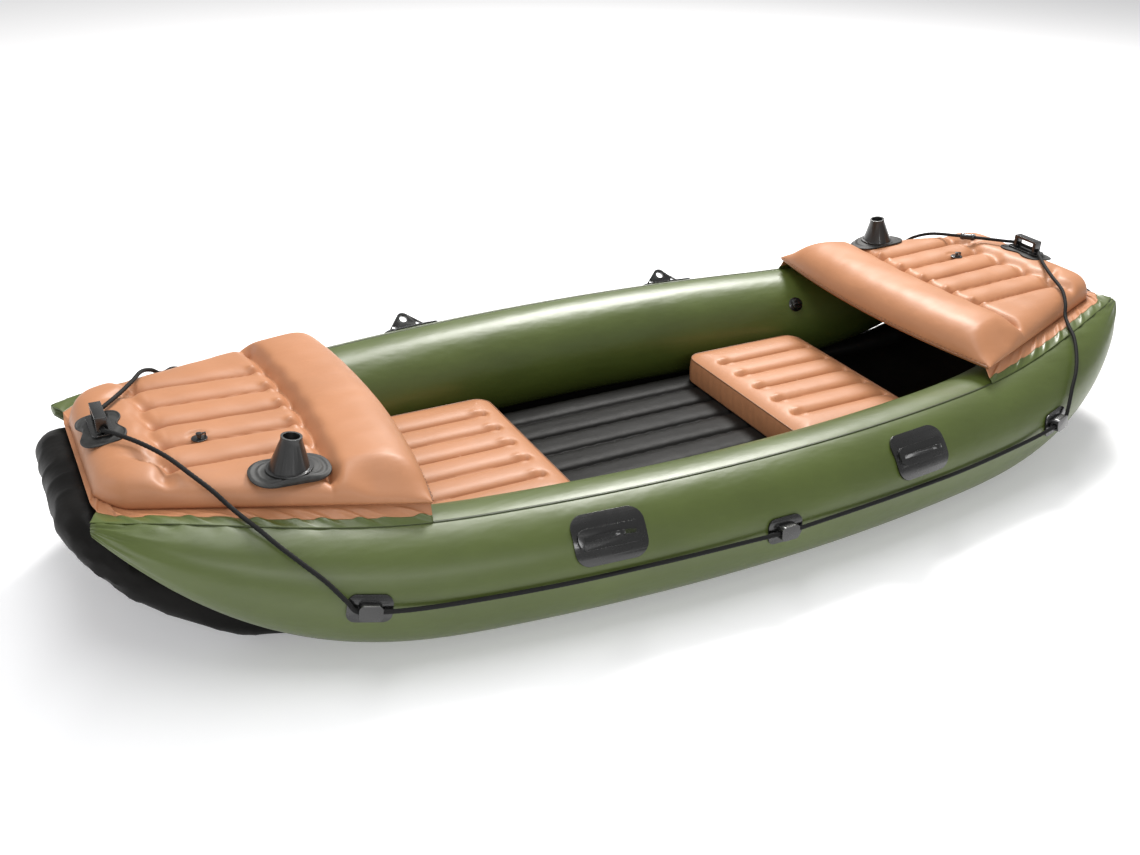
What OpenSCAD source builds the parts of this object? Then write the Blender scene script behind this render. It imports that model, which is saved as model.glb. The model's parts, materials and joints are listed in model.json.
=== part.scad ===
// Double-ended inflatable rowing raft: two side tubes, dark end tubes and bottom, an I-beam
// floor, two padded spray decks, two lift-out seats, oarlocks, rod holders, grab handles and
// a grab line. +X is the bow, +Y is port, +Z is up, and Z = 0 is the ground.

/* [Hull] */
// Overall length, over both end tubes
boat_length = 2930; // [2400:10:3500]
// Width over the two side tubes amidships
boat_beam = 1276; // [1000:4:1500]
// Diameter of a side tube amidships
tube_d = 284; // [230:2:310]
// Half length of the stretch over which a side tube keeps its full diameter
full_tube_half = 632; // [560:4:700]
// Distance between the tips of the two side tubes
tip_spacing = 560; // [500:4:600]
// Height of the side tubes' underside at the tips
tip_rise = 324; // [290:2:350]
// Diameter of an end tube
end_tube_d = 104; // [86:2:116]
// Thickness of the bottom sheet
bottom_t = 4; // [2:0.5:6]

/* [Floor] */
// Half length of the inflatable floor
floor_half = 820; // [796:4:830]
// Thickness of the floor over its beams
floor_t = 64; // [50:1:76]
// Distance between the floor's beams
floor_pitch = 92; // [80:1:100]

/* [Seats] */
// Distance from amidships to a seat's inner edge
seat_from_mid = 322; // [280:2:360]
// Length of a seat cushion, fore and aft
seat_length = 392; // [320:2:420]
// Width of a seat cushion
seat_width = 576; // [500:2:584]
// Thickness of a seat cushion over its beams
seat_t = 88; // [60:1:110]
// Number of beams in a seat
seat_beams = 6; // [4:1:8]

/* [Spray decks] */
// Distance from amidships to a deck's inner edge on the centre line
deck_inner = 722; // [680:2:760]
// How far a deck's corners lie beyond that edge
deck_bow = 44; // [20:2:60]
// Half width of a deck pad at its inner edge
deck_half_in = 450; // [420:2:460]
// Half width of a deck pad at its outer edge
deck_half_out = 232; // [210:2:236]
// Height of a deck's welded edge at the corners near the cockpit
deck_edge_in = 326; // [320:1:332]
// Height of a deck's welded edge at the end of the boat
deck_edge_out = 353; // [352:1:358]
// Height of the beams above the welded edge
deck_beam_h = 51; // [40:1:60]
// Extra height of the roll along the cockpit
bolster_h = 24; // [14:1:34]
// Extra height of the pillow at the end of the boat
pillow_h = 10; // [6:1:20]
// Thickness of the welded skirt
skirt_t = 2; // [1.5:0.5:3]

/* [Oarlocks] */
// Distance from amidships to each oarlock
oarlock_x = 416; // [380:2:460]
// Angle of an oarlock above the side tube's axis
oarlock_angle = 38; // [32:1:46]
// Length of an oarlock's base along the tube
oarlock_l = 168; // [140:2:190]
// Width of an oarlock's base around the tube
oarlock_w = 112; // [100:2:130]
// Height of the oarlock's plate
oarlock_h = 66; // [58:1:76]
// Diameter of the hole for the oar's pin
oar_pin_d = 22; // [16:1:26]

/* [Rod holders] */
// Distance from amidships to a rod holder
rod_x = 1016; // [960:2:1080]
// Distance from the centre line to a rod holder
rod_y = 304; // [280:2:312]
// Height of a rod holder's cone
rod_h = 72; // [60:1:100]
// Lean of the cone toward the cockpit, in degrees
rod_lean = 8; // [0:1:12]
// Bore for the rod's handle
rod_bore_d = 34; // [28:1:40]
// Outer diameter of the cone's foot
rod_foot_d = 96; // [84:1:104]

/* [Grab handles, guides and line] */
// Distance from amidships to a grab handle
handle_x = 1332; // [1310:2:1350]
// Width of a handle's opening
handle_open = 62; // [46:1:70]
// Distance from amidships to the outer line guides
guide_x = 914; // [880:2:940]
// Angle of a line guide above the side tube's axis
guide_angle = 6; // [2:1:12]
// Diameter of the grab line
line_d = 10; // [8:0.5:12]

/* [Valves] */
// Distance from amidships to a side tube's valve
valve_x = 755; // [740:5:780]
// Angle of the valve above the side tube's axis, on the inboard side
valve_angle = 33; // [26:1:40]
// Diameter of a side tube valve's flange
valve_d = 44; // [38:1:50]
// Diameter of a stem valve
stem_d = 9; // [7:0.5:11]

/* [Hidden] */
$fn = 48;
// Room left between pieces that are welded or rest on each other
seat_gap = 0.4;
// Overlap that makes a cut clean
cut = 1;

tube_r = tube_d/2;
tip_r = 12;
tip_x = boat_length/2 - 62;
tube_sides = 32;
tube_rings = 48;
tube_axis = boat_beam/2 - tube_r;
deck_pad_t = 8;
end_r = end_tube_d/2;
end_tube_x = boat_length/2 - end_r;
end_tube_z = deck_edge_out - deck_pad_t - skirt_t - 2*seat_gap - end_r;

// ---- colours ----
olive = [0.38, 0.46, 0.22];
tan = [0.83, 0.63, 0.48];
black = [0.09, 0.09, 0.09];
rubber_grey = [0.27, 0.27, 0.26];

// ---- the side tube's shape ----
function taper(x) = max(0, (abs(x) - full_tube_half)/(tip_x - full_tube_half));
function ring_r(x) = tube_r - (tube_r - tip_r)*pow(taper(x), 3.6);
function keel_z(x) = tip_rise*pow(taper(x), 2.7);
function axis_y(x) = tube_axis - (tube_axis - tip_spacing/2)*pow(x/tip_x, 2);
function axis_slope(x) = -2*(tube_axis - tip_spacing/2)*x/pow(tip_x, 2);
function axis_z(x) = keel_z(x) + ring_r(x);

// A point on the tube's skin, at an angle above its axis on the outboard side
function skin(x, angle, side, lift = 0) =
    let(n = norm([1, axis_slope(x)]), r = ring_r(x) + lift)
    [x - r*cos(angle)*axis_slope(x)/n, side*(axis_y(x) + r*cos(angle)/n), axis_z(x) + r*sin(angle)];

function unit(v) = v/norm(v);

// Frame on the skin: local X along the boat, local Y up around the tube, local Z outward
function skin_frame(x, angle, side) =
    let(along = unit(skin(x + 1, angle, side) - skin(x - 1, angle, side)),
        up0 = skin(x, angle + 1, side) - skin(x, angle - 1, side),
        up = unit(up0 - (up0*along)*along),
        out = side*cross(up, along),
        ex = cross(up, out),
        p = skin(x, angle, side))
    [[ex.x, up.x, out.x, p.x], [ex.y, up.y, out.y, p.y], [ex.z, up.z, out.z, p.z], [0, 0, 0, 1]];

module on_skin(x, angle, side) {
    multmatrix(skin_frame(x, angle, side)) children();
}

// ---- general shapes ----
function centre(ring) = [for (p = ring) 1]*ring/len(ring);

function ring_sides(n, m) = [for (i = [0:m - 2], j = [0:n - 1]) each [
    [i*n + j, i*n + (j + 1)%n, (i + 1)*n + (j + 1)%n],
    [i*n + j, (i + 1)*n + (j + 1)%n, (i + 1)*n + j]]];

// Rings of points joined into one closed skin, with a fan of faces at each end
module loft(rings) {
    n = len(rings[0]);
    m = len(rings);
    polyhedron(
        points = concat([for (ring = rings) each ring], [centre(rings[0]), centre(rings[m - 1])]),
        faces = concat(
            [for (j = [0:n - 1]) [m*n, (j + 1)%n, j]],
            ring_sides(n, m),
            [for (j = [0:n - 1]) [m*n + 1, (m - 1)*n + j, (m - 1)*n + (j + 1)%n]]));
}

function path_dir(path, i) = unit(path[min(i + 1, len(path) - 1)] - path[max(i - 1, 0)]);

// A round skin along a path, with one radius for each point
module round_sweep(path, radii, sides) {
    loft([for (i = [0:len(path) - 1])
        let(d = path_dir(path, i), left = unit(cross([0, 0, 1], d)), up = cross(d, left))
        [for (k = [0:sides - 1]) path[i] + radii[i]*(cos(360*k/sides)*left + sin(360*k/sides)*up)]]);
}

// A strip of cloth laid over several edges, each a list of points
module strip(edges, t) {
    last = len(edges) - 1;
    n = 2*len(edges);
    m = len(edges[0]);
    end = (m - 1)*n;
    polyhedron(
        points = [for (i = [0:m - 1]) each concat(
            [for (k = [0:last]) edges[k][i]],
            [for (k = [last:-1:0]) edges[k][i] - [0, 0, t]])],
        faces = concat(
            [for (k = [0:last - 1]) each [[n - 1 - k, n - 2 - k, k + 1], [n - 1 - k, k + 1, k]]],
            ring_sides(n, m),
            [for (k = [0:last - 1]) each [
                [end + k, end + k + 1, end + n - 2 - k], [end + k, end + n - 2 - k, end + n - 1 - k]]]));
}

module rounded_rect(l, w, r) {
    square([l - 2*r, w], center = true);
    square([l, w - 2*r], center = true);
    for (sx = [-1, 1], sy = [-1, 1])
        translate([sx*(l/2 - r), sy*(w/2 - r)])
            circle(r);
}

// A rounded pad whose underside follows the tube, lying on the skin's local XY plane
module curved_pad(l, w, r, t, bend_r) {
    intersection() {
        translate([0, 0, -bend_r])
            rotate([0, 90, 0])
                difference() {
                    cylinder(h = l + 2*cut, r = bend_r + t, center = true, $fn = 128);
                    cylinder(h = l + 4*cut, r = bend_r, center = true, $fn = 128);
                }
        translate([0, 0, -w])
            linear_extrude(height = 2*w)
                rounded_rect(l, w, r);
    }
}

// A round-ended beam along X
module beam(l, r) {
    rotate([0, 90, 0])
        rotate_extrude()
            intersection() {
                union() {
                    square([2*r, l - 2*r], center = true);
                    for (s = [-1, 1])
                        translate([0, s*(l/2 - r)])
                            circle(r);
                }
                translate([0, -l])
                    square([r + cut, 2*l]);
            }
}

// ---- hull ----
module side_tube(side) {
    n = tube_rings;
    color(olive)
        loft([for (i = [0:n])
            let(x = -tip_x + 2*tip_x*i/n)
            [for (k = [0:tube_sides - 1]) skin(x, -side*360*k/tube_sides, side)]]);
}

// The dark end tube lies against the ground and the side tubes, then rises around the end
tuck = 25;
function keel_slope(x) = 2.7*tip_rise*pow(taper(x), 1.7)/(tip_x - full_tube_half);
// A rising tube measures this much more from top to bottom than across
function steep(x) = sqrt(1 + pow(keel_slope(x), 2));
function steep_at(x, angle) = norm([steep(x)*cos(angle), sin(angle)]);
function end_tube_r(x) =
    min(end_r, (ring_r(x)*(1 - cos(tuck)) + keel_z(x) - 3*seat_gap)
        /(steep(x) + steep_at(x, tuck)*cos(tuck)));
function end_tube_pt(x) =
    let(reach = ring_r(x) + end_tube_r(x)*steep_at(x, tuck) + 2*seat_gap)
    [x, axis_y(x) - reach*sin(tuck), axis_z(x) - reach*cos(tuck)];
end_tube_start = full_tube_half + 240;
end_bend_x = tip_x - 80;
end_side_n = 9;
end_bend_n = 7;
// Quarter turn from the side run into the straight run across the end
function end_bend(t) =
    let(p = end_tube_pt(end_bend_x), corner = [end_tube_x, p.y - 22, end_tube_z],
        q = [end_tube_x, p.y - 110, end_tube_z])
    (1 - t)*(1 - t)*p + 2*t*(1 - t)*corner + t*t*q;
function end_half_path() = concat(
    [for (i = [0:end_side_n])
        end_tube_pt(end_tube_start + (end_bend_x - end_tube_start)*i/end_side_n)],
    [for (i = [1:end_bend_n]) end_bend(i/end_bend_n)]);
function end_half_r() = concat(
    [for (i = [0:end_side_n])
        end_tube_r(end_tube_start + (end_bend_x - end_tube_start)*i/end_side_n)],
    [for (i = [1:end_bend_n]) end_r]);

module end_tube() {
    half = end_half_path();
    radii = end_half_r();
    n = len(half);
    color(black)
        round_sweep(
            concat(half, [for (i = [n - 1:-1:0]) [half[i].x, -half[i].y, half[i].z]]),
            concat(radii, [for (i = [n - 1:-1:0]) radii[i]]), 20);
}

// The bottom sheet lies flat, then rises to the middle of the end tubes
function sheet_z(x) =
    let(rise = min(1, max(0, (abs(x) - end_tube_start)/160)))
    max(bottom_t, mix(bottom_t, end_tube_pt(abs(x)).z, rise));
sheet_n = 12;
sheet_end = end_bend_x + 20;
function sheet_half(x) =
    abs(x) < end_tube_start
        ? axis_y(x) - seat_gap
            - sqrt(max(0, pow(ring_r(x), 2) - pow(axis_z(x) - bottom_t - 2*seat_gap, 2)))
        : end_tube_pt(abs(x)).y - end_tube_r(abs(x)) - 9*seat_gap;
module bottom_sheet() {
    flat = [for (i = [0:sheet_n]) end_tube_start*i/sheet_n];
    rise = [for (i = [1:sheet_n]) end_tube_start + (end_bend_x - end_tube_start)*i/sheet_n];
    xs = concat(flat, rise);
    all_x = concat([for (i = [len(xs) - 1:-1:1]) -xs[i]], xs);
    color(black)
        intersection() {
            rotate([90, 0, 0])
                linear_extrude(height = boat_beam, center = true)
                    polygon(concat(
                        [for (x = all_x) [x, sheet_z(x)]],
                        [for (i = [len(all_x) - 1:-1:0]) [all_x[i], sheet_z(all_x[i]) - bottom_t]]));
            translate([0, 0, -cut])
                linear_extrude(height = tip_rise + end_tube_d)
                    polygon(concat(
                        [for (x = all_x) [x, sheet_half(x)]],
                        [for (i = [len(all_x) - 1:-1:0]) [all_x[i], -sheet_half(all_x[i])]]));
        }
}

// ---- inflatable floor ----
floor_beam_r = floor_t/2;
floor_z = bottom_t + seat_gap + floor_beam_r;
// Farthest a floor beam at this offset may run before it meets the side tube
function floor_beam_half(y) =
    let(room = sqrt(pow(tube_r + floor_beam_r + 3, 2) - pow(tube_r - floor_z, 2)),
        spare = tube_axis - abs(y) - room)
    min(floor_half - 0.35*abs(y),
        tip_x*sqrt(max(0, spare)/(tube_axis - tip_spacing/2)));
module floor_web(y, t) {
    half = min(floor_beam_half(y), floor_beam_half(y + floor_pitch)) - floor_beam_r;
    translate([-half, y, floor_z - t/2])
        cube([2*half, floor_pitch, t]);
}
module floor_mattress() {
    rows = floor((tube_axis - tube_r)/floor_pitch);
    color(black) {
        for (k = [-rows:rows])
            translate([0, k*floor_pitch, floor_z])
                beam(2*floor_beam_half(k*floor_pitch), floor_beam_r);
        for (k = [-rows:rows - 1])
            floor_web(k*floor_pitch, 0.55*floor_t);
    }
}

// ---- seats ----
seat_z = floor_z + floor_beam_r + seat_gap;
seat_x = seat_from_mid + seat_length/2;
// A shallow round-topped rib along X, standing on the XY plane
module rib(l, w, rise) {
    bend = (w*w/4 + rise*rise)/(2*rise);
    intersection() {
        translate([0, 0, rise - bend])
            rotate([0, 90, 0])
                cylinder(h = l, r = bend, center = true);
        translate([-l, -w, -cut])
            cube([2*l, 2*w, rise + 2*cut]);
    }
}

// A boxed cushion: a rounded slab with shallow ribs along its top
module seat(end) {
    corner = 36;
    rise = 0.16*seat_t;
    slab = seat_t - rise;
    pitch = (seat_width - corner)/seat_beams;
    color(tan)
        translate([end*seat_x, 0, seat_z]) {
            difference() {
                linear_extrude(height = slab)
                    rounded_rect(seat_length, seat_width, corner);
                seat_valve_pocket(end);
            }
            for (k = [0:seat_beams - 1])
                translate([0, (k + 0.5 - seat_beams/2)*pitch, slab])
                    rib(seat_length - corner, 0.9*pitch, rise);
        }
}

// ---- spray decks ----
deck_outer = tip_x - 22;
function mix(a, b, t) = a + (b - a)*t;
function deck_x(s) = mix(deck_inner, deck_outer, s);
function deck_half(s) =
    mix(deck_half_in, deck_half_out, s)*(s > 0.9 ? sqrt(1 - pow((s - 0.9)/0.1, 2)*0.45) : 1);
function deck_edge(s) = mix(deck_edge_in, deck_edge_out, s);
function bump(s, at, wide) = max(0, 1 - pow((s - at)/wide, 2));
bolster_s = 0.15;
pillow_s = 0.88;
// Height of the pad above its welded edge along the centre line
function deck_rise(s) =
    sqrt(max(0, 1 - pow(abs(2*s - 1), 12)))
    *(deck_beam_h + bolster_h*bump(s, bolster_s, 0.17) + pillow_h*bump(s, pillow_s, 0.14));
function deck_side(t) = sqrt(1 - pow(abs(t), 7));
function deck_pt(end, s, t, up) =
    [end*(deck_x(s) + deck_bow*(1 - s)*t*t), t*deck_half(s),
        up ? deck_edge(s) + deck_rise(s)*deck_side(t) : deck_edge(s) - deck_pad_t];
deck_s = [0, 0.012, 0.04, 0.09, 0.15, 0.21, 0.27, 0.33, 0.5, 0.7, 0.78, 0.84, 0.88, 0.92, 0.96, 0.985, 1];
deck_t = [-1, -0.985, -0.94, -0.86, -0.74, -0.5, -0.25, 0, 0.25, 0.5, 0.74, 0.86, 0.94, 0.985, 1];
module deck(end) {
    color(tan)
        difference() {
            loft([for (s = deck_s) concat(
                [for (t = deck_t) deck_pt(end, s, end*t, true)],
                [for (i = [len(deck_t) - 1:-1:0]) deck_pt(end, s, 0.99*end*deck_t[i], false)])]);
            translate([end*deck_valve_x, end*deck_valve_y, deck_valve_z - stem_pocket])
                cylinder(h = 3*stem_pocket, d = stem_pocket_d);
        }
}

// The skirt is welded under the pad's rim and carries it down to the side and end tubes
skirt_lap = 14;
skirt_s = [0, 0.12, 0.26, 0.4, 0.5, 0.6, 0.68, 0.76, 0.83, 0.89, 0.96];
function skirt_x(s) = deck_x(s) + deck_bow*(1 - s);
function skirt_lift(x) = skirt_t + 2*seat_gap + 190/ring_r(x);
function under_pad(s) = deck_edge(s) - deck_pad_t - seat_gap;
function skirt_pad(s, past) = [skirt_x(s), deck_half(s) + past, under_pad(s)];
function skirt_out(s) = skin(skirt_x(s), 78, 1, skirt_lift(skirt_x(s)));
// Halfway the skirt lies either straight or on the side tube, whichever is higher
function skirt_mid(s) =
    let(p = (skirt_pad(s, 3) + skirt_out(s))/2, x = p.x,
        tube_top = axis_z(x) + sqrt(max(0, pow(ring_r(x), 2) - pow(p.y - axis_y(x), 2))))
    [x, p.y, max(p.z, tube_top + skirt_lift(x))];
function flip_y(list) = [for (i = [len(list) - 1:-1:0]) [list[i].x, -list[i].y, list[i].z]];
// One edge of the skirt: along the starboard side, the corner, and across the end
function skirt_edge(side_pts, corner, x, z, half) =
    let(across = [for (k = [0.8, 0.4, 0, -0.4, -0.8]) [x, k*half, z]])
    concat(side_pts, [corner], across, flip_y([corner]), flip_y(side_pts));
module deck_skirt(end) {
    top_z = end_tube_z + end_r + skirt_t + seat_gap;
    in_x = deck_outer - 30;
    in_z = under_pad((in_x - deck_inner)/(deck_outer - deck_inner));
    in = [in_x, deck_half_out - 2*skirt_lap, in_z];
    rim = [deck_outer - 2, deck_half_out - 4, top_z];
    out = [tip_x - 4, tip_spacing/2 - 3, tip_rise + 2*tip_r + skirt_t + 3*seat_gap];
    color(tan)
        mirror([end < 0 ? 1 : 0, 0, 0])
            strip([
                skirt_edge([for (s = skirt_s) skirt_pad(s, -skirt_lap)], in, in_x, in_z,
                    0.8*deck_half_out),
                skirt_edge([for (s = skirt_s) skirt_pad(s, 3)], rim, deck_outer + 3, top_z,
                    0.9*deck_half_out),
                skirt_edge([for (s = skirt_s) skirt_mid(s)], (rim + out)/2, tip_x - 8, top_z,
                    0.95*deck_half_out),
                skirt_edge([for (s = skirt_s) skirt_out(s)], out, end_tube_x, top_z,
                    tip_spacing/2 - 20)],
                skirt_t);
}

// ---- fittings on the side tubes ----
pad_t = 4;
pin_plate_t = 9;
module oarlock(end, side) {
    bend = ring_r(oarlock_x) + 2*seat_gap;
    foot = oarlock_l - 30;
    eye_r = oar_pin_d/2 + 9;
    eye_z = oarlock_h - eye_r;
    color(black)
        on_skin(end*oarlock_x, oarlock_angle, side) {
            translate([0, 0, 2*seat_gap])
                curved_pad(oarlock_l, oarlock_w, 34, pad_t, bend);
            difference() {
                translate([0, 0, 2*seat_gap + pad_t/2])
                    linear_extrude(height = 9)
                        rounded_rect(foot + 12, 46, 20);
                translate([0, 0, 2*seat_gap - bend])
                    rotate([0, 90, 0])
                        cylinder(h = oarlock_l, r = bend + pad_t/2, center = true, $fn = 128);
            }
            rotate([90, 0, 0])
                linear_extrude(height = pin_plate_t, center = true)
                    difference() {
                        union() {
                            polygon([[-foot/2, pad_t], [foot/2, pad_t],
                                [eye_r*0.8, eye_z + eye_r*0.6], [-eye_r*0.8, eye_z + eye_r*0.6]]);
                            translate([0, eye_z])
                                circle(eye_r);
                        }
                        translate([0, eye_z])
                            circle(d = oar_pin_d);
                        for (s = [-1, 1])
                            translate([s*foot*0.27, eye_z*0.52])
                                circle(d = 13);
                    }
        }
}

guide_l = 92;
guide_w = 62;
guide_bore_d = line_d + 3;
guide_line_lift = pad_t + 4 + guide_bore_d/2;
module guide(x, side) {
    color(black)
        on_skin(x, guide_angle, side) {
            translate([0, 0, 2*seat_gap])
                curved_pad(guide_l, guide_w, 20, pad_t, ring_r(x) + 2*seat_gap);
            difference() {
                translate([0, 0, pad_t])
                    linear_extrude(height = guide_bore_d + 8)
                        rounded_rect(48, 34, 10);
                translate([0, 0, guide_line_lift])
                    rotate([0, 90, 0])
                        cylinder(h = guide_l, d = guide_bore_d, center = true);
            }
        }
}

// ---- rod holders ----
rod_patch_t = 3;
rod_patch_w = 104;
// Height of the pad's top face at a place
function deck_top(x, y) =
    let(s = (x - deck_inner)/(deck_outer - deck_inner))
    deck_edge(s) + deck_rise(s)*deck_side(y/deck_half(s));
rod_z = 2*seat_gap
    + max([for (dx = [-60:20:60]) deck_top(rod_x + dx, rod_y - rod_patch_w/2)]);
rod_rim_d = 40;
rod_flange_t = 4;
module on_rod_patch(end) {
    translate([end*rod_x, end*rod_y, rod_z]) children();
}
module rod_patch(end) {
    color(rubber_grey)
        on_rod_patch(end)
            difference() {
                linear_extrude(height = rod_patch_t)
                    rounded_rect(168, rod_patch_w, 50);
                translate([0, 0, -cut])
                    cylinder(h = rod_patch_t + 2*cut, d = rod_foot_d - 24);
            }
}
// A flange on the patch carries the leaning cone
module rod_holder(end) {
    foot_r = rod_foot_d/2 - 6;
    sink = foot_r*tan(rod_lean);
    color(black)
        on_rod_patch(end)
            translate([0, 0, rod_patch_t + seat_gap])
                difference() {
                    union() {
                        cylinder(h = rod_flange_t, d = rod_foot_d);
                        intersection() {
                            rotate([0, -end*rod_lean, 0])
                                rotate_extrude()
                                    polygon([[0, -sink], [foot_r, -sink], [foot_r, rod_flange_t],
                                        [rod_rim_d/2 + 2, rod_h - 8], [rod_rim_d/2 + 2, rod_h],
                                        [0, rod_h]]);
                            translate([0, 0, 1])
                                cylinder(h = 2*rod_h, d = 2*rod_foot_d);
                        }
                    }
                    rotate([0, -end*rod_lean, 0])
                        translate([0, 0, 10])
                            cylinder(h = rod_h, d = rod_bore_d);
                }
}

// ---- grab handles ----
handle_patch_t = 3;
handle_z = deck_edge(pillow_s) + deck_rise(pillow_s) + 2*seat_gap;
handle_w = handle_open + 20;
handle_bar_t = 7;
handle_post_t = 10;
handle_h = 38;
handle_l = 24;
handle_foot_t = 4;
line_hole_z = handle_foot_t + line_d/2 + 2;
module handle_patch(end) {
    waist = 34;
    color(rubber_grey)
        translate([end*handle_x, 0, handle_z])
            linear_extrude(height = handle_patch_t) {
                rounded_rect(2*waist, 150, 24);
                for (s = [-1, 1])
                    translate([0, s*48])
                        rounded_rect(98, 54, 22);
            }
}
// Two posts carry the bar, and the grab line runs through both posts under it
module handle(end) {
    color(black)
        translate([end*handle_x, 0, handle_z + handle_patch_t + seat_gap])
            difference() {
                union() {
                    linear_extrude(height = handle_foot_t)
                        rounded_rect(handle_l + 22, handle_w + 26, 12);
                    for (s = [-1, 1])
                        translate([-handle_l/2, s*(handle_w - handle_post_t)/2 - handle_post_t/2, 2])
                            cube([handle_l, handle_post_t, handle_h - 2]);
                    translate([-handle_l/2, -handle_w/2, handle_h - handle_bar_t])
                        cube([handle_l, handle_w, handle_bar_t]);
                }
                translate([0, 0, line_hole_z])
                    rotate([90, 0, 0])
                        cylinder(h = 2*handle_w, d = line_d + 3, center = true);
            }
}

// ---- grab line ----
// Starboard half of the line, bow half of its route; the stern half is its mirror image
line_route = [[0, -652, 158], [90, -648, 158], [310, -635, 158], [560, -612, 158],
    [800, -577, 161], [920, -560, 172], [968, -548, 180], [986, -538, 204], [1016, -513, 243],
    [1050, -486, 277], [1085, -447, 307], [1113, -406, 331], [1135, -364, 344],
    [1153, -332, 358], [1174, -307, 381], [1202, -264, 401], [1233, -194, 413],
    [1270, -128, 420], [1312, -68, 424], [1332, -42, 425], [1332, 0, 425]];
module grab_line(side) {
    n = len(line_route);
    half = [for (p = line_route) [p.x, -side*p.y, p.z]];
    color(black)
        round_sweep(
            concat([for (i = [n - 1:-1:1]) [-half[i].x, half[i].y, half[i].z]], half),
            [for (i = [1:2*n - 1]) line_d/2], 8);
}
// Barrel stopper that joins the line's two ends beside the bow handle
module line_stopper() {
    from = [1233, 194, 413];
    to = [1270, 128, 420];
    dir = unit(to - from);
    color(black)
        translate((from + to)/2)
            rotate([0, acos(dir.z), atan2(dir.y, dir.x)])
                difference() {
                    union() {
                        cylinder(h = 44, d = line_d + 8, center = true);
                        for (s = [-1, 1])
                            translate([0, 0, s*15])
                                cylinder(h = 8, d = line_d + 11, center = true);
                    }
                    cylinder(h = 60, d = line_d + 2, center = true);
                }
}

// ---- side tube valves ----
neck_d = 24;
neck_h = 9;
module on_valve(side) {
    // Port valve toward the bow, starboard valve toward the stern
    on_skin(side*valve_x, 180 - valve_angle, side) children();
}
module valve_body(side) {
    color(black)
        on_valve(side)
            translate([0, 0, 2*seat_gap])
                difference() {
                    union() {
                        cylinder(h = 3, d = valve_d);
                        cylinder(h = 3 + neck_h, d = neck_d);
                    }
                    translate([0, 0, -cut])
                        cylinder(h = neck_h + 5, d = neck_d - 6);
                }
}
ring_z = 3 + 3*seat_gap;
module valve_ring(side) {
    color(black)
        on_valve(side)
            translate([0, 0, ring_z])
                difference() {
                    cylinder(h = 2, d = neck_d + 10);
                    translate([0, 0, -cut])
                        cylinder(h = 2 + 2*cut, d = neck_d + 1);
                }
}
cap_z = ring_z + 2 + seat_gap;
module valve_cap(side) {
    color(black)
        on_valve(side)
            translate([0, 0, cap_z])
                difference() {
                    union() {
                        cylinder(h = 11, d = neck_d + 7);
                        translate([0, 0, 11])
                            linear_extrude(height = 5)
                                rounded_rect(neck_d, 6, 2.5);
                    }
                    translate([0, 0, -cut])
                        cylinder(h = 8 + cut, d = neck_d + 1);
                }
}

// ---- stem valves of the decks, seats and floor ----
stem_pocket = 6;
stem_pocket_d = 46;
stem_flange_d = 34;
stem_h = 10;
plug_pin = 4;
plug_hinge_x = 13;
plug_hinge_z = stem_h + seat_gap - plug_pin;
module stem_valve() {
    color(black)
        difference() {
            union() {
                cylinder(h = 2, d = stem_flange_d);
                cylinder(h = stem_h, d = stem_d);
                translate([plug_hinge_x - 2, -3, 0])
                    cube([4, 6, plug_hinge_z - 2.4]);
            }
            translate([0, 0, 2])
                cylinder(h = stem_h, d = stem_d - 4);
        }
}
// The plug hangs on a strap whose leg ends in a round barrel over the hinge block
module stem_plug() {
    top = stem_h + seat_gap;
    strap = 2;
    color(black) {
        translate([0, 0, top])
            cylinder(h = 2.5, d = stem_d + 4);
        translate([0, -2.5, top])
            cube([plug_hinge_x + 1.5, 5, strap]);
        translate([plug_hinge_x, 0, plug_hinge_z])
            rotate([90, 0, 0])
                cylinder(h = 5, r = 1.5, center = true);
        translate([plug_hinge_x - 1, -2.5, plug_hinge_z])
            cube([2.5, 5, top + strap - plug_hinge_z]);
        translate([0, 0, top - plug_pin])
            cylinder(h = plug_pin, d = stem_d - 5.6);
    }
}
deck_valve_x = deck_x(0.65);
deck_valve_y = 96;
deck_valve_z = deck_top(deck_valve_x, deck_valve_y);
module on_deck_valve(end) {
    translate([end*deck_valve_x, end*deck_valve_y, deck_valve_z - stem_pocket])
        children();
}
seat_valve_z = 0.4*seat_t;
seat_pocket = stem_pocket + 1;
// Each seat's valve is in its side: starboard on the bow seat, port on the stern seat
module seat_valve_pocket(end) {
    translate([0, -end*(seat_width/2 - seat_pocket), seat_valve_z])
        rotate([end*90, 0, 0])
            cylinder(h = 30, d = stem_pocket_d);
}
module on_seat_valve(end) {
    translate([end*seat_x, -end*(seat_width/2 - seat_pocket), seat_z + seat_valve_z])
        rotate([end*90, 0, 0])
            children();
}
module on_floor_valve() {
    translate([floor_half - 66, 0, floor_z + floor_beam_r + seat_gap])
        children();
}

side_tube(1);  // side_tube_port
side_tube(-1);  // side_tube_starboard
end_tube();  // end_tube_bow
mirror([1, 0, 0]) end_tube();  // end_tube_stern
bottom_sheet();
floor_mattress();
deck(1);  // bow_deck
deck(-1);  // stern_deck
deck_skirt(1);  // bow_deck_skirt
deck_skirt(-1);  // stern_deck_skirt
seat(1);  // bow_seat
seat(-1);  // stern_seat
oarlock(1, 1);  // oarlock_bow_port
oarlock(1, -1);  // oarlock_bow_starboard
oarlock(-1, 1);  // oarlock_stern_port
oarlock(-1, -1);  // oarlock_stern_starboard
rod_holder(1);  // rod_holder_bow
rod_holder(-1);  // rod_holder_stern
rod_patch(1);  // rod_holder_patch_bow
rod_patch(-1);  // rod_holder_patch_stern
handle(1);  // handle_bow
handle(-1);  // handle_stern
handle_patch(1);  // handle_patch_bow
handle_patch(-1);  // handle_patch_stern
guide(guide_x, 1);  // guide_bow_port
guide(0, 1);  // guide_mid_port
guide(-guide_x, 1);  // guide_stern_port
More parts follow.
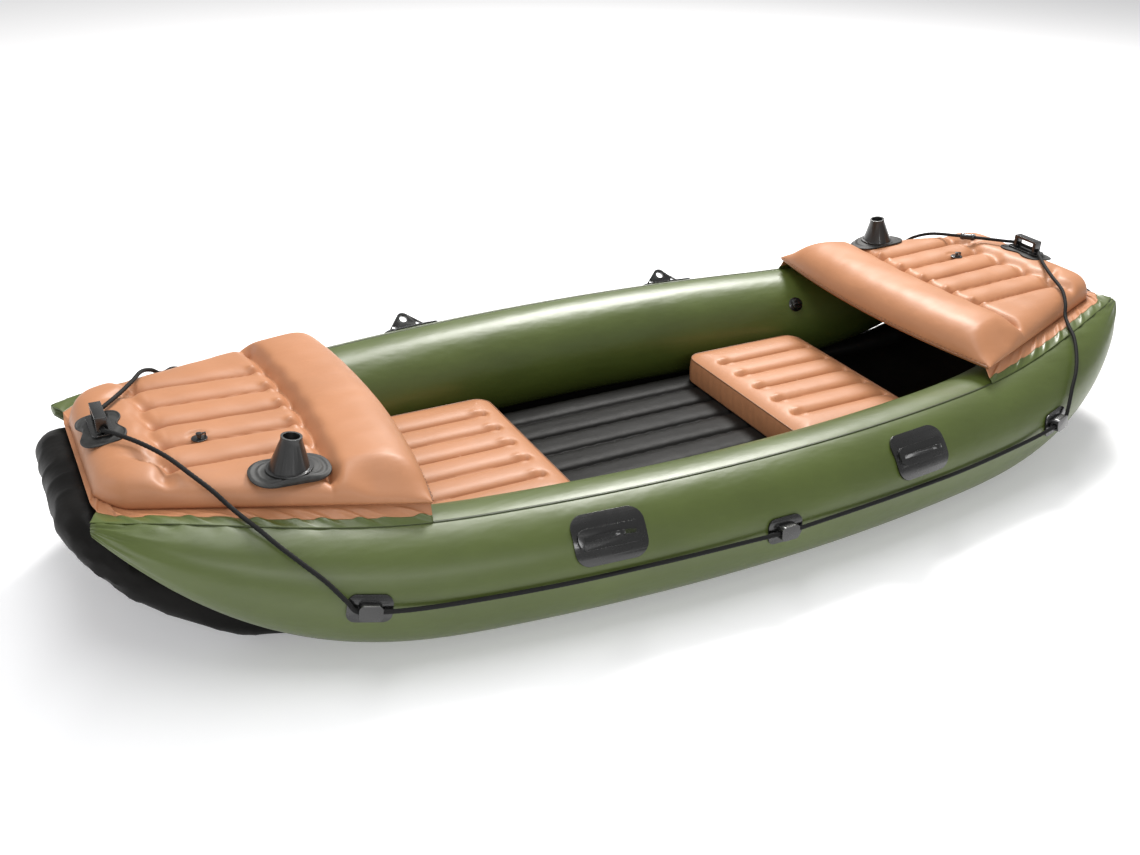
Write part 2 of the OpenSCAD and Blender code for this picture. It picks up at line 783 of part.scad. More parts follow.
guide(guide_x, -1);  // guide_bow_starboard
guide(0, -1);  // guide_mid_starboard
guide(-guide_x, -1);  // guide_stern_starboard
grab_line(1);  // grab_line_port
grab_line(-1);  // grab_line_starboard
line_stopper();
valve_body(1);  // valve_body_port
valve_ring(1);  // valve_ring_port
valve_cap(1);  // valve_cap_port
valve_body(-1);  // valve_body_starboard
valve_ring(-1);  // valve_ring_starboard
valve_cap(-1);  // valve_cap_starboard
on_deck_valve(1) stem_valve();  // deck_valve_bow
on_deck_valve(1) stem_plug();  // deck_plug_bow
on_deck_valve(-1) stem_valve();  // deck_valve_stern
on_deck_valve(-1) stem_plug();  // deck_plug_stern
on_seat_valve(1) stem_valve();  // seat_valve_bow
on_seat_valve(1) stem_plug();  // seat_plug_bow
on_seat_valve(-1) stem_valve();  // seat_valve_stern
on_seat_valve(-1) stem_plug();  // seat_plug_stern
on_floor_valve() stem_valve();  // floor_valve
on_floor_valve() stem_plug();  // floor_plug
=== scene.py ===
"""Looks of a double-ended inflatable rowing raft: coated-fabric tubes, padded decks and seats,
moulded fittings and a braided grab line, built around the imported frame."""
import json
import math

import bmesh
import bpy
import numpy as np
from mathutils import Matrix, Vector


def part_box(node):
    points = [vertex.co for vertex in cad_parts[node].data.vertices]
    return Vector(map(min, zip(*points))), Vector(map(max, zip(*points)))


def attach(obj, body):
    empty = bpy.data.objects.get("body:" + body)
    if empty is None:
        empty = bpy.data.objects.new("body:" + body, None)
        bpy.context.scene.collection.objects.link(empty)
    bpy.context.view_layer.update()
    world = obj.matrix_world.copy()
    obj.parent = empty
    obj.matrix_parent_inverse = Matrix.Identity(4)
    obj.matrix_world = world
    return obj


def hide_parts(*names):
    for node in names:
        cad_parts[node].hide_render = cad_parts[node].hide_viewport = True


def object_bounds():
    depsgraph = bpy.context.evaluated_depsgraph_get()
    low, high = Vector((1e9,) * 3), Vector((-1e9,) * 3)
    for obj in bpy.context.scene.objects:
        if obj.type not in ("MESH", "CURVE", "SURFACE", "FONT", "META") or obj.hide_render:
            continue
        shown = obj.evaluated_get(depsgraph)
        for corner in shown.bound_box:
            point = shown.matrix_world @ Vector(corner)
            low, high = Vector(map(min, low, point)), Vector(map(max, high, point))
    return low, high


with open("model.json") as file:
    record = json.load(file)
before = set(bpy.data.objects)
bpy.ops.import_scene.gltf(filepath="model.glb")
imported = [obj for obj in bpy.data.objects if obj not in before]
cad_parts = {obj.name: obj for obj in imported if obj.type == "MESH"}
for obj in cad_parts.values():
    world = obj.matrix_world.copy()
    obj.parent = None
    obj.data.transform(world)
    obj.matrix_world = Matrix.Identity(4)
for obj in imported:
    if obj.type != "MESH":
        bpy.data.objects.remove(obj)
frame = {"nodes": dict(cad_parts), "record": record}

bl_info = {
    "name": "Rowing raft",
    "version": (1, 0, 0),
    "blender": (4, 5, 0),
    "location": "3D View > Sidebar > Raft",
    "description": "Builds the looks of an inflatable rowing raft around its frame",
    "category": "Add Mesh",
}

CAD_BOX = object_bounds()
MM = 0.001
# a clearance too small to see, in metres
HAIR = 0.0004
ENDS = {"bow": 1, "stern": -1}
SIDES = {"port": 1, "starboard": -1}


# ---- what a user may change ----
def metres(name, description, default):
    return bpy.props.FloatProperty(
        name=name, description=description, default=default, unit="LENGTH", precision=4)


def colour(name, description, default):
    return bpy.props.FloatVectorProperty(
        name=name, description=description, default=default, subtype="COLOR", min=0, max=1)


class RaftSizes(bpy.types.PropertyGroup):
    tube_d: metres("Tube diameter", "Diameter of a side tube amidships", 0.284)
    full_tube_half: metres("Full tube", "Half length over which a tube keeps its diameter", 0.632)
    tip_spacing: metres("Tip spacing", "Distance between the tips of the side tubes", 0.560)
    tip_rise: metres("Tip rise", "Height of the tubes' underside at the tips", 0.324)
    tip_r: metres("Tip radius", "Radius of a side tube at its tip", 0.012)
    tip_inset: metres("Tip inset", "From the end of the boat to a side tube's tip", 0.062)
    end_tube_d: metres("End tube diameter", "Diameter of an end tube", 0.104)
    bottom_t: metres("Bottom thickness", "Thickness of the bottom sheet", 0.004)
    floor_half: metres("Half floor", "Half length of the inflatable floor", 0.820)
    floor_t: metres("Floor thickness", "Thickness of the floor over its beams", 0.064)
    floor_pitch: metres("Beam pitch", "Distance between the floor's beams", 0.092)
    deck_inner: metres("Deck start", "From amidships to a deck's inner edge", 0.722)
    deck_bow: metres("Deck curve", "How far a deck's corners lie beyond that edge", 0.044)
    deck_half_in: metres("Deck half width", "Half width of a deck at its inner edge", 0.450)
    deck_half_out: metres("Deck half end", "Half width of a deck at its outer edge", 0.232)
    deck_edge_in: metres("Inner edge height", "Height of a deck's edge near the cockpit", 0.326)
    deck_edge_out: metres("Outer edge height", "Height of a deck's edge at the end", 0.353)
    deck_rise: metres("Deck rise", "Height of the beams above the welded edge", 0.051)
    bolster: metres("Bolster", "Extra height of the roll along the cockpit", 0.024)
    pillow: metres("Pillow", "Extra height of the pillow at the end", 0.010)
    rib_pitch: metres("Rib pitch", "Distance between the deck's ribs", 0.098)
    line_d: metres("Line diameter", "Diameter of the grab line", 0.010)
    lens: bpy.props.FloatProperty(
        name="Lens", description="Focal length of the camera", default=38.498, unit="CAMERA")


class RaftColours(bpy.types.PropertyGroup):
    olive: colour("Olive", "Coated fabric of the side tubes", (0.072, 0.100, 0.017))
    tan: colour("Tan", "Coated fabric of the decks and seats", (0.450, 0.200, 0.095))
    black: colour("Black", "Coated fabric of the floor and end tubes", (0.006, 0.0055, 0.005))
    patch: colour("Patch", "Rubbery patches under the handles and rod holders", (0.026, 0.026, 0.025))
    fitting: colour("Fitting", "Moulded plastic fittings", (0.004, 0.004, 0.004))
    line: colour("Line", "Braided grab line", (0.005, 0.005, 0.005))
    floor: colour("Floor", "Studio floor", (0.90, 0.90, 0.91))


# ---- shader maths ----
class Term:
    """A socket of a node; adding to it or multiplying it makes a Math node."""

    def __init__(self, maker, socket):
        self.maker = maker
        self.socket = socket

    def maths(self, operation, *terms):
        return self.maker.node("ShaderNodeMath", {"operation": operation}, dict(enumerate(terms)))

    def __add__(self, other):
        return self.maths("ADD", self, other)

    def __mul__(self, other):
        return self.maths("MULTIPLY", self, other)

    __radd__ = __add__
    __rmul__ = __mul__


class Finish:
    """A material with a Principled shader and short ways to add nodes to it."""

    def __init__(self, name, **constants):
        self.material = bpy.data.materials.new(name)
        self.material.use_nodes = True
        self.tree = self.material.node_tree
        self.shader = self.tree.nodes["Principled BSDF"]
        for key, value in constants.items():
            label = key.replace("_", " ").title().replace("Ior", "IOR")
            self.shader.inputs[label].default_value = value
        self.place = self.node("ShaderNodeTexCoord", {}, {}, "Object")

    def node(self, kind, settings, inputs, output=0):
        made = self.tree.nodes.new(kind)
        for key, value in settings.items():
            if key == "stops":
                self.fill_ramp(made.color_ramp, value)
            else:
                setattr(made, key, value)
        for key, value in inputs.items():
            if isinstance(value, Term):
                self.tree.links.new(value.socket, made.inputs[key])
            else:
                made.inputs[key].default_value = value
        return Term(self, made.outputs[output])

    @staticmethod
    def fill_ramp(ramp, stops):
        while len(ramp.elements) < len(stops):
            ramp.elements.new(0.5)
        for element, (at, value) in zip(ramp.elements, stops):
            element.position = at
            element.color = (value, value, value, 1)

    def ramp(self, term, *stops):
        return self.node("ShaderNodeValToRGB", {"stops": stops}, {"Fac": term})

    def stretch(self, scale):
        return self.node("ShaderNodeMapping", {}, {"Vector": self.place, "Scale": scale})

    def noise(self, scale, detail=2.0, stretch=None, rough=0.5):
        where = self.stretch(stretch) if stretch else self.place
        return self.node("ShaderNodeTexNoise", {}, {
            "Vector": where, "Scale": scale, "Detail": detail, "Roughness": rough})

    def mix(self, a, b, factor):
        colours = {6: (*a, 1) if isinstance(a, tuple) else a,
                   7: (*b, 1) if isinstance(b, tuple) else b, 0: factor}
        return self.node("ShaderNodeMix", {"data_type": "RGBA"}, colours, 2)

    def feed(self, name, term):
        self.tree.links.new(term.socket, self.shader.inputs[name])

    def bump(self, *layers):
        """Each layer is a height term and the height in metres of its full swing."""
        normal = None
        for height, distance in layers:
            inputs = {"Height": height, "Distance": distance, "Strength": 1.0}
            if normal:
                inputs["Normal"] = normal
            normal = self.node("ShaderNodeBump", {}, inputs)
        self.feed("Normal", normal)


def shade(rgb, factor):
    return tuple(min(1.0, c*factor) for c in rgb)


def coated_fabric(name, rgb, roughness, wrinkle, coat=0.25, spread=0.10, gloss=0.5):
    """Coated fabric: a fine woven grain under a smooth film, with soft mottling."""
    f = Finish(name, roughness=roughness, coat_roughness=0.28, specular_ior_level=gloss)
    f.shader.inputs["Coat Weight"].default_value = coat
    mottle = f.noise(5.0, 4.0)
    dust = f.noise(38.0, 5.0, rough=0.65)
    base = f.mix(shade(rgb, 1 - spread), shade(rgb, 1 + spread), f.ramp(mottle, (0.3, 0.0), (0.7, 1.0)))
    f.feed("Base Color", f.mix(base, shade(rgb, 1.22), f.ramp(dust, (0.56, 0.0), (0.86, 0.35))))
    f.feed("Roughness", roughness - 0.06 + dust*0.12)
    weave = f.node("ShaderNodeTexWave", {"bands_direction": "DIAGONAL"}, {
        "Vector": f.place, "Scale": 210.0, "Distortion": 0.6})
    grain = f.noise(620.0, 2.0)
    f.bump((f.noise(9.0, 3.0, stretch=(0.6, 1.4, 1.4)), wrinkle), (weave*0.4 + grain, 0.00012))
    return f.material


def rubber_patch(name, rgb):
    f = Finish(name, roughness=0.55, specular_ior_level=0.45)
    scuff = f.noise(60.0, 5.0, rough=0.7)
    f.feed("Base Color", f.mix(shade(rgb, 0.8), shade(rgb, 1.6), f.ramp(scuff, (0.42, 0.0), (0.72, 1.0))))
    f.feed("Roughness", 0.48 + scuff*0.2)
    f.bump((scuff, 0.0004), (f.noise(900.0, 1.0), 0.00015))
    return f.material


def moulded_plastic(name, rgb, roughness=0.24):
    """Glossy moulded plastic with a faint orange-peel and rubbed edges."""
    f = Finish(name, roughness=roughness, coat_roughness=0.12, specular_ior_level=0.55)
    f.shader.inputs["Coat Weight"].default_value = 0.5
    haze = f.noise(26.0, 5.0, rough=0.6)
    edge = f.node("ShaderNodeNewGeometry", {}, {}, "Pointiness")
    worn = f.ramp(edge, (0.52, 0.0), (0.62, 1.0))
    f.feed("Base Color", f.mix(rgb, (0.020, 0.020, 0.020), worn*haze))
    f.feed("Roughness", roughness - 0.05 + haze*0.16)
    f.bump((f.noise(240.0, 2.0), 0.00010))
    return f.material


def braided(name, rgb):
    f = Finish(name, roughness=0.72, specular_ior_level=0.3)
    fibre = f.noise(1500.0, 3.0, rough=0.8)
    f.feed("Base Color", f.mix(shade(rgb, 0.7), shade(rgb, 2.6), f.ramp(fibre, (0.4, 0.0), (0.8, 1.0))))
    f.feed("Roughness", 0.6 + fibre*0.25)
    f.bump((fibre, 0.0003))
    return f.material


def welded_seam(name, rgb):
    f = Finish(name, roughness=0.38)
    pressed = f.noise(300.0, 2.0)
    f.feed("Base Color", f.mix(shade(rgb, 0.75), rgb, pressed))
    f.bump((pressed, 0.0002))
    return f.material


FINISHES = {}


def finish_of(key):
    """The material of that name, made the first time that it is asked for."""
    if key not in FINISHES:
        c = bpy.context.scene.raft_colours
        makers = {
            "olive": lambda: coated_fabric("olive_fabric", tuple(c.olive), 0.42, 0.004, 0.22),
            "tan": lambda: coated_fabric("tan_fabric", tuple(c.tan), 0.48, 0.003, 0.05, 0.06, 0.4),
            "black": lambda: coated_fabric("black_fabric", tuple(c.black), 0.50, 0.003, 0.0, 0.25, 0.12),
            "patch": lambda: rubber_patch("grey_patch", tuple(c.patch)),
            "fitting": lambda: moulded_plastic("black_plastic", tuple(c.fitting)),
            "rod": lambda: moulded_plastic("satin_plastic", tuple(c.fitting), 0.42),
            "line": lambda: braided("braided_line", tuple(c.line)),
            "olive_seam": lambda: welded_seam("olive_seam", shade(tuple(c.olive), 0.45)),
            "tan_seam": lambda: welded_seam("tan_seam", shade(tuple(c.tan), 0.62)),
        }
        FINISHES[key] = makers[key]()
    return FINISHES[key]


def piece(name, points, faces, finish, body="boat", replaces=()):
    """A smooth mesh object that rides on a body and stands for CAD nodes."""
    mesh = bpy.data.meshes.new(name)
    mesh.from_pydata([tuple(p) for p in points], [], faces)
    mesh.validate()
    bm = bmesh.new()
    bm.from_mesh(mesh)
    bmesh.ops.remove_doubles(bm, verts=bm.verts, dist=1e-6)
    bmesh.ops.recalc_face_normals(bm, faces=bm.faces)
    bm.to_mesh(mesh)
    bm.free()
    mesh.polygons.foreach_set("use_smooth", [True]*len(mesh.polygons))
    return place_piece(bpy.data.objects.new(name, mesh), finish, body, replaces)


def place_piece(o, finish, body, replaces):
    bpy.context.collection.objects.link(o)
    o.data.materials.clear()
    o.data.materials.append(finish_of(finish))
    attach(o, body)
    if replaces:
        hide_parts(*replaces)
    return o


def grid_faces(rows, cols, loop=False, start=0):
    """Quads between rows of points; loop joins each row's last point to its first."""
    across = cols if loop else cols - 1
    return [(start + i*cols + j, start + i*cols + (j + 1) % cols,
             start + (i + 1)*cols + (j + 1) % cols, start + (i + 1)*cols + j)
            for i in range(rows - 1) for j in range(across)]


def tube_mesh(rings):
    """Points and faces of a closed tube from an array of rings."""
    rows, cols = rings.shape[:2]
    points = np.concatenate([rings.reshape(-1, 3), rings[0].mean(0)[None], rings[-1].mean(0)[None]])
    first, last = rows*cols, rows*cols + 1
    caps = [(first, (j + 1) % cols, j) for j in range(cols)]
    base = (rows - 1)*cols
    caps += [(last, base + j, base + (j + 1) % cols) for j in range(cols)]
    return points, grid_faces(rows, cols, loop=True) + caps


def slab_mesh(top, bottom):
    """Points and faces of a closed slab between two grids of points."""
    rows, cols = top.shape[:2]
    n = rows*cols
    points = np.concatenate([top.reshape(-1, 3), bottom.reshape(-1, 3)])
    faces = grid_faces(rows, cols) + [f[::-1] for f in grid_faces(rows, cols, start=n)]
    rim = list(range(cols)) + [i*cols + cols - 1 for i in range(1, rows)]
    rim += [(rows - 1)*cols + j for j in range(cols - 2, -1, -1)]
    rim += [i*cols for i in range(rows - 2, 0, -1)]
    faces += [(rim[k], n + rim[k], n + rim[(k + 1) % len(rim)], rim[(k + 1) % len(rim)])
              for k in range(len(rim))]
    return points, faces


def xyz(x, y, z):
    """Points from three coordinates, each an array or a number."""
    return np.stack(np.broadcast_arrays(x, y, z), axis=-1)


def run_along(path):
    """The distance along a path to each of its points."""
    return np.concatenate([[0], np.cumsum(np.linalg.norm(np.diff(path, axis=0), axis=1))])


def smooth_step(low, high, x):
    t = np.clip((x - low)/(high - low), 0, 1)
    return t*t*(3 - 2*t)


def bell(x, at, width):
    return np.exp(-((x - at)/width)**2)


def hump(x, at, width):
    return np.maximum(0, 1 - ((x - at)/width)**2)


def waves(*terms):
    """A repeatable uneven ripple: each term is a phase array."""
    total = 0
    for k, phase in enumerate(terms):
        total = total + np.sin(phase + 1.7*k)/(k + 1)
    return total


def spline(points, step):
    """Evenly spaced points on a smooth curve through the given ones."""
    p = np.array(points, float)
    p = np.concatenate([[2*p[0] - p[1]], p, [2*p[-1] - p[-2]]])
    out = []
    for i in range(1, len(p) - 2):
        t = np.linspace(0, 1, 24, endpoint=False)[:, None]
        a, b, c, d = p[i - 1], p[i], p[i + 1], p[i + 2]
        out.append(0.5*(2*b + (c - a)*t + (2*a - 5*b + 4*c - d)*t**2 + (3*b - a - 3*c + d)*t**3))
    out = np.concatenate(out + [p[-2][None]])
    along = run_along(out)
    marks = np.linspace(0, along[-1], max(2, round(along[-1]/step) + 1))
    return np.stack([np.interp(marks, along, out[:, k]) for k in range(3)], axis=1)


def unit(v):
    return v/np.linalg.norm(v, axis=-1, keepdims=True)


def path_frames(path):
    """Left and up directions along a path that never runs straight up."""
    along = unit(np.gradient(path, axis=0))
    left = unit(np.cross([0, 0, 1], along))
    return left, np.cross(along, left)


def swept(path, radius, sides):
    """Rings of points round a path; radius is a number or an array of rows by sides."""
    left, up = path_frames(path)
    a = np.linspace(0, 2*np.pi, sides, endpoint=False)
    r = np.broadcast_to(np.asarray(radius, float), (len(path), sides))[..., None]
    ring = np.cos(a)[None, :, None]*left[:, None] + np.sin(a)[None, :, None]*up[:, None]
    return path[:, None] + r*ring


def rounded_copy(node, finish, body, width, segments=3):
    """The CAD shape with its edges rounded, standing for the CAD node."""
    source = frame["nodes"][node]
    mesh = source.data.copy()
    bm = bmesh.new()
    bm.from_mesh(mesh)
    bmesh.ops.remove_doubles(bm, verts=bm.verts, dist=1e-6)
    bmesh.ops.dissolve_limit(bm, angle_limit=math.radians(1.5), verts=bm.verts, edges=bm.edges)
    bm.to_mesh(mesh)
    bm.free()
    o = place_piece(bpy.data.objects.new(f"{node}_looks", mesh), finish, body, (node,))
    bevel = o.modifiers.new("rounded edges", "BEVEL")
    bevel.width = width
    bevel.segments = segments
    bevel.limit_method = "ANGLE"
    bevel.angle_limit = math.radians(38)
    bevel.harden_normals = True
    mesh.polygons.foreach_set("use_smooth", [True]*len(mesh.polygons))
    graph = bpy.context.evaluated_depsgraph_get()
    done = bpy.data.meshes.new_from_object(o.evaluated_get(graph))
    o.modifiers.clear()
    o.data = done


class RoundedRectangle:
    """An outline with points at an even pace, and the distance of any point inside it."""

    def __init__(self, half_x, half_y, corner):
        self.half = np.array([half_x, half_y])
        self.corner = corner

    def walk(self, count):
        fine = []
        for k in range(4):
            a = np.linspace(0, np.pi/2, 40) + k*np.pi/2
            sign = np.array([1 if k in (0, 3) else -1, 1 if k in (0, 1) else -1])
            centre = sign*(self.half - self.corner)
            fine.append(centre + self.corner*np.stack([np.cos(a), np.sin(a)], axis=1))
        fine = np.concatenate(fine + [fine[0][:1]])
        run = run_along(fine)
        marks = np.linspace(0, run[-1], count, endpoint=False)
        return np.stack([np.interp(marks, run, fine[:, k]) for k in range(2)], axis=1)

    def normals(self, count):
        p = self.walk(count)
        d = np.roll(p, -1, axis=0) - np.roll(p, 1, axis=0)
        return unit(np.stack([d[:, 1], -d[:, 0]], axis=1))

    def depth(self, p):
        q = np.abs(p) - (self.half - self.corner)
        outside = np.linalg.norm(np.maximum(q, 0), axis=-1)
        return self.corner - outside - np.minimum(np.max(q, axis=-1), 0)


# ---- the hull's shape ----
class Hull:
    """The same curves as the frame's side tubes, worked out for arrays of points."""

    def __init__(self, s):
        low, high = CAD_BOX
        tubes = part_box("side_tube_port")[1].y
        self.s = s
        self.tube_r = s.tube_d/2
        self.tip_x = (high.x - low.x)/2 - s.tip_inset
        self.axis_out = tubes - self.tube_r
        self.end_r = s.end_tube_d/2
        self.end_x = (high.x - low.x)/2 - self.end_r
        self.deck_outer = self.tip_x - 0.022
        pad_lap, skirt_t, gap = 0.008, 0.002, 0.0008
        self.end_z = s.deck_edge_out - pad_lap - skirt_t - gap - self.end_r
        # where an end tube starts along the side tube, and where it turns across the boat
        self.run_start = s.full_tube_half + 0.240
        self.run_end = self.tip_x - 0.080

    def taper(self, x):
        s = self.s
        return np.maximum(0, (np.abs(x) - s.full_tube_half)/(self.tip_x - s.full_tube_half))

    def ring_r(self, x):
        return self.tube_r - (self.tube_r - self.s.tip_r)*self.taper(x)**3.6

    def axis_y(self, x):
        return self.axis_out - (self.axis_out - self.s.tip_spacing/2)*(x/self.tip_x)**2

    def slope(self, x):
        return -2*(self.axis_out - self.s.tip_spacing/2)*x/self.tip_x**2

    def keel(self, x):
        return self.s.tip_rise*self.taper(x)**2.7

    def axis_z(self, x):
        return self.keel(x) + self.ring_r(x)

    def skin(self, x, degrees, side, lift=0.0):
        """Points on a side tube at an angle above its axis on the outboard side."""
        x, a = np.broadcast_arrays(np.asarray(x, float), np.radians(degrees))
        n = np.sqrt(1 + self.slope(x)**2)
        r = self.ring_r(x) + lift
        return xyz(x - r*np.cos(a)*self.slope(x)/n,
                   side*(self.axis_y(x) + r*np.cos(a)/n),
                   self.axis_z(x) + r*np.sin(a))

    def end_tube(self, x):
        """Centre and radius of the end tube where it lies along a side tube."""
        tuck, s = math.radians(25), self.s
        slope = 2.7*s.tip_rise*self.taper(x)**1.7/(self.tip_x - s.full_tube_half)
        steep = np.sqrt(1 + slope**2)
        lean = np.sqrt((steep*math.cos(tuck))**2 + math.sin(tuck)**2)
        r = np.minimum(self.end_r, (self.ring_r(x)*(1 - math.cos(tuck)) + self.keel(x) - 0.0012)
                       / (steep + lean*math.cos(tuck)))
        reach = self.ring_r(x) + r*lean + 0.0008
        centre = xyz(x, self.axis_y(x) - reach*math.sin(tuck),
                     self.axis_z(x) - reach*math.cos(tuck))
        return centre, r

    # the padded decks
    def deck_half(self, share):
        s = self.s
        end = np.where(share > 0.9, np.sqrt(1 - np.clip((share - 0.9)/0.1, 0, 1)**2*0.45), 1)
        return (s.deck_half_in + (s.deck_half_out - s.deck_half_in)*share)*end

    def deck_edge(self, share):
        return self.s.deck_edge_in + (self.s.deck_edge_out - self.s.deck_edge_in)*share

    def deck_x(self, share, across):
        s = self.s
        return s.deck_inner + (self.deck_outer - s.deck_inner)*share + s.deck_bow*(1 - share)*across**2

    def deck_height(self, share, across):
        """Height of the pad above its welded edge, with its roll, ribs, pillow and creases."""
        s, y = self.s, across*self.deck_half(share)
        lengthwise = np.sqrt(np.maximum(0, 1 - np.abs(2*share - 1)**12))
        roll = np.sqrt(hump(share, 0.145, 0.155))
        # the roll thins to a point at the corners, where the rest of the pad is boxy
        thin = 1 - 0.55*smooth_step(0.80, 1.0, np.abs(across))*smooth_step(0.30, 0.16, share)
        side = np.sqrt(np.maximum(0, 1 - np.abs(across)**11))*thin
        body = s.deck_rise + s.bolster*roll + s.pillow*hump(share, 0.88, 0.14)
        high = lengthwise*side*body
        # ribs along the boat between the roll and the pillow
        count = 5
        outer = (count - 1)/2*s.rib_pitch
        span = np.clip(y, -outer - s.rib_pitch/2, outer + s.rib_pitch/2)/s.rib_pitch
        off = np.abs(span - np.round(span))*2
        ribbed = smooth_step(0.315, 0.35, share)*smooth_step(0.80, 0.745, share)
        high -= ribbed*0.025*(1 - np.sqrt(np.maximum(0, 1 - (1 - off)**2.2)))
        # welds between the roll, the ribs and the pillow, and the puckers at the ribs' ends
        width = smooth_step(1.0, 0.86, np.abs(across))
        high -= 0.020*bell(share, 0.300 + 0.004*np.cos(2*np.pi*span), 0.024)*width
        high -= 0.013*bell(share, 0.785 - 0.008*np.cos(2*np.pi*span), 0.028)*width
        for k in range(count):
            at = (k - (count - 1)/2)*s.rib_pitch
            high -= 0.009*bell(share, 0.325, 0.016)*bell(y, at, 0.012)
            high += 0.007*bell(share, 0.345, 0.016)*(bell(y, at + 0.020, 0.009) + bell(y, at - 0.020, 0.009))
            high -= 0.005*bell(share, 0.765, 0.020)*bell(y, at, 0.015)
        for sign in (-1, 1):
            crease = np.abs(y) - (0.150 + 0.55*(0.86 - share)*(self.deck_outer - s.deck_inner))
            high -= 0.011*bell(crease*np.where(y*sign > 0, 1, 99), 0, 0.017)*bell(share, 0.83, 0.055)
            high -= 0.010*bell(share, 0.30, 0.022)*bell(across, sign*0.86, 0.05)
        return np.maximum(high, 0)

    def draped(self, x, y):
        """Height of a stiff patch that bridges the deck's creases, by a smooth fit to the pad."""
        cx, cy = x.mean(), y.mean()
        reach_x, reach_y = np.ptp(x)*0.40, np.ptp(y)*0.42
        gx, gy = np.meshgrid(np.linspace(-reach_x, reach_x, 31), np.linspace(-reach_y, reach_y, 31))
        share = np.clip((np.abs(cx + gx) - self.s.deck_inner)/(self.deck_outer - self.s.deck_inner), 0, 1)
        on_pad = (np.abs(cy + gy) < 0.86*self.deck_half(share)) & (share < 0.94)
        gx, gy = gx[on_pad], gy[on_pad]
        under = self.deck_top(cx + gx, cy + gy)
        fit = np.linalg.lstsq(self.curved(gx, gy), under, rcond=1e-3)[0]
        spare = np.percentile(under - self.curved(gx, gy) @ fit, 97)
        return self.curved(x - cx, y - cy) @ fit + max(0.0, spare)

    @staticmethod
    def curved(a, b):
        """The terms of a gently curved surface, for a least-squares fit."""
        return np.stack([a*0 + 1, a, b, a*a*0.3, b*b*0.3], axis=-1)

    def deck_top(self, x, y):
        """Height of a deck's upper skin at a place."""
        s = self.s
        share = (np.abs(x) - s.deck_inner)/(self.deck_outer - s.deck_inner)
        for _ in range(4):
            share = np.clip(share, 0, 1)
            across = np.clip(np.abs(y)/self.deck_half(share), 0, 1)
            share = ((np.abs(x) - s.deck_bow*(1 - share)*across**2 - s.deck_inner)
                     / (self.deck_outer - s.deck_inner))
        share = np.clip(share, 0, 1)
        return self.deck_edge(share) + self.deck_height(share, across)


def hull():
    return Hull(bpy.context.scene.raft_sizes)


class RaftStep:
    """What every operator of the raft shares."""
    bl_options = {"REGISTER", "UNDO"}


# ---- pieces ----
class RAFT_OT_side_tubes(RaftStep, bpy.types.Operator):
    """The two side tubes with their weld seams"""
    bl_idname = "raft.side_tubes"
    bl_label = "Side tubes"

    def execute(self, context):
        h = hull()
        rings, sides = 220, 72
        x = np.linspace(-h.tip_x, h.tip_x, rings)[:, None]
        for name, side in SIDES.items():
            turn = np.arange(sides)[None, :]*360/sides
            a = np.radians(turn)
            near_tip = smooth_step(0.86, 1.0, np.abs(x)/h.tip_x)
            upswept = smooth_step(0.55, 0.9, np.abs(x)/h.tip_x)
            gather = waves(a*13 + x*21, a*23 - x*34)*0.0016*near_tip
            tucks = waves(x*150 + a*2, x*233 - a*3)*0.0011*upswept*np.clip(-np.cos(a - 0.5), 0, 1)**2
            pulled = waves(x*90 + a*9, x*160 - a*7)*0.0016*upswept*bell(a, np.pi/2 - 0.12, 0.30)
            points = h.skin(x, turn, side, gather + tucks + pulled - 0.0006)
            piece(f"side_tube_{name}_looks", *tube_mesh(points), "olive",
                  replaces=(f"side_tube_{name}",))
            self.seam(h, name, side, degrees=79.0, half=0.0035, lift=0.0009)
            self.seam(h, f"{name}_under", side, degrees=-62.0, half=0.007, lift=0.0007)
        return {"FINISHED"}

    @staticmethod
    def seam(h, name, side, degrees, half, lift):
        """A narrow welded overlap that runs the length of the tube."""
        x = np.linspace(-h.tip_x*0.955, h.tip_x*0.955, 320)[:, None]
        spread = np.degrees(np.array([-half, -half*0.7, half*0.7, half])[None, :]/h.tube_r)
        proud = np.array([-0.0012, lift, lift, -0.0012])[None, :]
        top = h.skin(x, degrees + spread, side, proud)
        low = h.skin(x, degrees + spread, side, proud*0 - 0.0025)
        piece(f"weld_seam_{name}", *slab_mesh(top, low), "olive_seam")


